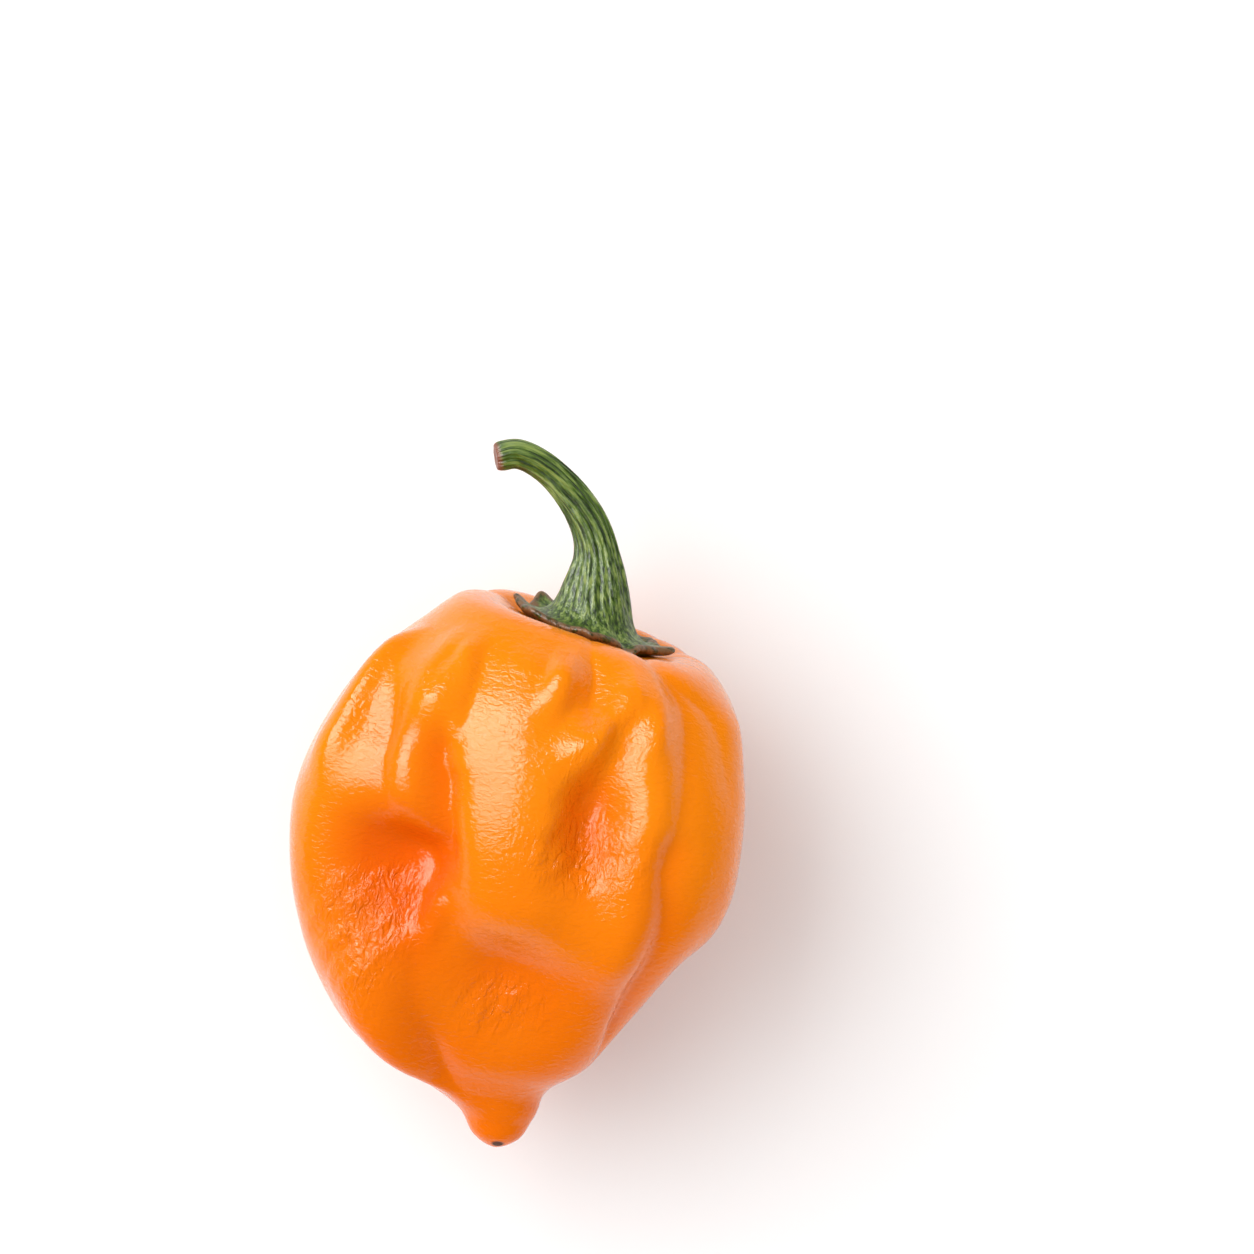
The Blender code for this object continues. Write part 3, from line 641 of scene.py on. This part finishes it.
def rimShape(turn, radius, shape):
    # how far the ragged rim stands out and up
    share = smoothStep(radius, shape["rimFrom"], shape["rimFull"])
    angle = np.radians(turn)
    waves = [part * np.sin(count * angle + phase) for part, count, phase in shape["wavesOut"]]
    out = shape["rimWave"] * sum(waves)
    part, count, phase = shape["waveUp"]
    up = part * shape["rimWave"] * (1 + np.sin(count * angle + phase))
    for at, far, high, wide in shape["teeth"]:
        near = np.exp(-((turnBetween(turn, at) / wide) ** 2))
        out += far * near
        up += high * near
    return out * share, up * share


def stemProfile(share, shape):
    # way along the path, radius and how closely the skin is followed, for shares from the cut end down
    profile = shape["outline"]
    first, last = (profile[1][0], -profile[1][1], 1.0), (profile[-2][0], -profile[-2][1], 0.0)
    outline = catmullRom(profile, shape["splineSteps"], first, last)
    outlineWay = wayAlong(outline[:, :2])
    way, radius, follow = readLine(outlineWay, outline, (1 - share) * outlineWay[-1]).T
    return way, radius, np.clip(follow, 0, 1)


def stemFrame(way, shape):
    # the middle of the stem at each way along its path, and its directions to the side and to the back
    path = shape["path"]
    start = 2 * np.array(path[0]) - path[1]
    end = 2 * np.array(path[-1]) - path[-2]
    line = catmullRom(path, shape["splineSteps"], start, end)
    lineWay = wayAlong(line)
    front = readLine(lineWay, np.gradient(line, lineWay, axis=0), way)
    front /= np.linalg.norm(front, axis=1, keepdims=True)
    side = np.cross((0, 1, 0), front)
    side /= np.linalg.norm(side, axis=1, keepdims=True)
    return readLine(lineWay, line, way), side, np.cross(front, side)


def stemPoints(turn, share, skin, shape):
    way, radius, follow = stemProfile(share, shape)
    middle, side, behind = stemFrame(way, shape)
    angle = np.radians(turn)
    twisted = angle + np.radians(shape["twist"] * way)
    far, often = shape["fibreWander"]
    ribs = shape["ribRise"] * np.cos(shape["ribs"] * twisted)
    ribs += shape["fibreRise"] * np.cos(shape["fibres"] * twisted + far * np.sin(often * way))
    size = radius * (1 + ribs * (1 - follow))
    ring = middle + size[:, None] * (np.sin(angle)[:, None] * side - np.cos(angle)[:, None] * behind)
    ring[:, 2] += shape["foot"]
    # the calyx lies on the skin
    out, up = rimShape(turn, radius, shape)
    scale = shape["calyxWidth"] / 2 / max(p[1] for p in shape["outline"])
    reach = np.maximum(radius, 0) * scale + out
    right, back = reach * np.sin(angle), -reach * np.cos(angle)
    draped = np.stack([right, back, skinHeight(skin, right, back) + shape["seatGap"] + way + up], axis=-1)
    points = ring * (1 - follow[:, None]) + draped * follow[:, None]
    straight = np.stack([radius * np.sin(twisted), radius * np.cos(twisted), way], axis=-1)
    rim = smoothStep(radius, *shape["dryRim"]) * follow
    cut = smoothStep(way, *shape["dryEnd"])
    return points, {"straight": straight, "rim": rim, "cut": cut}


def makeStem(skin):
    shape = stemShape
    mesh, turn, share = sphereMesh(shape["segments"], shape["rings"])
    points, attributes = stemPoints(turn, share, skin, shape)
    moveVertices(mesh, points)
    mesh.transform(lying(podShape))
    stem = addPiece("pepper_stem", mesh, greenStem(), attributes)
    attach(stem, "root")
    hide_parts("stem_with_calyx")


makeStem(podSkin)
print("stem made")


view = {
    "azimuth": 10.0,
    "elevation": 88.0,
    "lens": 135.0,
    "sensor": 36.0,
    "imagePixels": 1254,
    "pixelSize": 0.0893,  # mm on the pepper for one pixel of the photograph
    "calyxMiddle": (0.3, 0.0, 47.2),  # in the pod's frame
    "calyxPixels": (34, 1),  # how far left of and below the middle of the photograph it shows
}


studio = {
    # name: (direction from the pepper in the camera's own axes, distance, width, height, brightness, and
    # whether it lights surfaces and shows in their gloss), in metres
    "lights": {
        "softbox": ((-0.50, 0.30, 0.81), 0.62, 0.46, 0.62, 1.85, True, False),
        "softbox seen in the gloss": ((-0.50, 0.30, 0.81), 0.58, 0.46, 0.62, 6.5, False, True),
    },
    "aim": (0, 0, 0.02),  # near the middle of the pepper
    "power": 1.75,  # brings both brightnesses to the exposure of the photograph
    "glow": (0.5, 1.7),  # at the foot and at the top of a softbox
    "roomStrength": 0.76,
    "floorColour": (0.92, 0.92, 0.92, 1),
    "floorRoughness": 0.9,
    "floorReach": 1.5,  # from its middle to its edges
}


def cameraAxes():
    azimuth, elevation = math.radians(view["azimuth"]), math.radians(view["elevation"])
    level = math.cos(elevation)
    back = Vector((math.sin(azimuth) * level, -math.cos(azimuth) * level, math.sin(elevation)))
    right = Vector((math.cos(azimuth), math.sin(azimuth), 0))
    return right, back.cross(right), back


def placed(obj, right, up, back, at):
    obj.matrix_world = Matrix.Translation(at) @ Matrix((right, up, back)).transposed().to_4x4()
    bpy.context.scene.collection.objects.link(obj)


def addCamera():
    right, up, back = cameraAxes()
    pixel = view["pixelSize"] * mm
    calyx = lying(podShape) @ Vector(view["calyxMiddle"]) * mm
    target = calyx + right * view["calyxPixels"][0] * pixel + up * view["calyxPixels"][1] * pixel
    distance = view["imagePixels"] * pixel * view["lens"] / view["sensor"]
    camera = bpy.data.objects.new("camera", bpy.data.cameras.new("camera"))
    camera.data.lens, camera.data.sensor_width = view["lens"], view["sensor"]
    placed(camera, right, up, back, target + back * distance)
    bpy.context.scene.camera = camera


def brightenTop(data):
    # the soft box glows most near its top, so what it shows in fades downwards
    data.use_nodes = True
    tree = data.node_tree
    across = addNode(tree, "ShaderNodeNewGeometry", "Parametric")
    height = addNode(tree, "ShaderNodeSeparateXYZ", "Y", {0: across})
    foot, top = studio["glow"]
    glow = addNode(tree, "ShaderNodeMapRange", "Result", {
        "Value": height, "To Min": foot, "To Max": top})
    tree.links.new(glow, tree.nodes["Emission"].inputs["Strength"])


def addLights():
    right, up, back = cameraAxes()
    middle = Vector(studio["aim"])
    for name, (direction, distance, width, height, brightness, lights, shows) in studio["lights"].items():
        data = bpy.data.lights.new(name, "AREA")
        data.shape, data.size, data.size_y = "RECTANGLE", width, height
        data.energy = brightness * math.pi * width * height * studio["power"]
        if shows:
            brightenTop(data)
        light = bpy.data.objects.new(name, data)
        light.visible_diffuse, light.visible_glossy = lights, shows
        x, y, z = Vector(direction).normalized()
        towards = right * x + up * y + back * z
        side = up.cross(towards).normalized()
        placed(light, side, towards.cross(side), towards, middle + towards * distance)


def addRoom():
    world = bpy.data.worlds.new("soft room")
    bpy.context.scene.world = world
    world.use_nodes = True
    background = world.node_tree.nodes["Background"]
    background.inputs["Color"].default_value = (1, 1, 1, 1)
    background.inputs["Strength"].default_value = studio["roomStrength"]
    world.cycles_visibility.glossy = False  # the room is dark where the skin would mirror it


def addFloor():
    # matt white board
    material, tree, shader = newMaterial("matt white board")
    shader.inputs["Base Color"].default_value = studio["floorColour"]
    shader.inputs["Roughness"].default_value = studio["floorRoughness"]
    mesh = bmesh.new()
    bmesh.ops.create_grid(mesh, x_segments=1, y_segments=1, size=studio["floorReach"])
    data = bpy.data.meshes.new("floor")
    mesh.to_mesh(data)
    mesh.free()
    data.materials.append(material)
    floor = bpy.data.objects.new("floor", data)
    bpy.context.scene.collection.objects.link(floor)


addCamera()
addLights()
addRoom()
addFloor()
bpy.context.scene.view_settings.view_transform = "Standard"
print("camera, lights and floor set")
